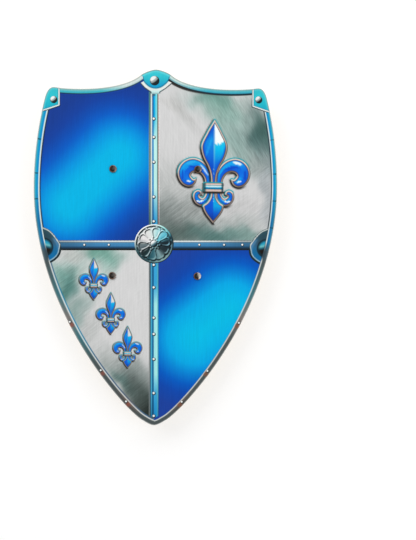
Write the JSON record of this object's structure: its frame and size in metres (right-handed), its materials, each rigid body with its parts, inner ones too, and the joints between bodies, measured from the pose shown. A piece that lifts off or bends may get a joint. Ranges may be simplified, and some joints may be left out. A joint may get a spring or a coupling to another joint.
{
  "type": "toy heater shield",
  "caption": "Flat plywood toy shield of heater shape: printed heraldic front, plain wooden back with riveted leather straps for arm and hand.",
  "frame": {"origin": "centre of the outline's bounding box, on the surface that the shield lies on, under the straps' bows", "axes": "+Z out of the printed front, +Y towards the shield's top, +X to the right seen from the front"},
  "size_m": [0.308, 0.45, 0.0338],
  "materials": {
    "plywood": "sanded, unvarnished birch plywood",
    "printed_face": "satin lacquer over a printed steel, blue and silver picture",
    "strap_leather": "semi-matt black, fine grain",
    "zinc_stud": "bright zinc with a faint yellow-green passivation",
    "gunmetal_cap": "dark gunmetal, worn to bronze on the rim"
  },
  "bodies": {
    "root": {"board": "plywood", "arm_strap": "strap_leather", "hand_strap": "strap_leather", "arm_top_stud": "zinc_stud", "arm_bottom_stud": "zinc_stud", "hand_top_stud": "zinc_stud", "hand_bottom_stud": "zinc_stud", "arm_top_cap": "gunmetal_cap", "arm_bottom_cap": "gunmetal_cap", "hand_top_cap": "gunmetal_cap", "hand_bottom_cap": "gunmetal_cap"}
  },
  "joints": []
}
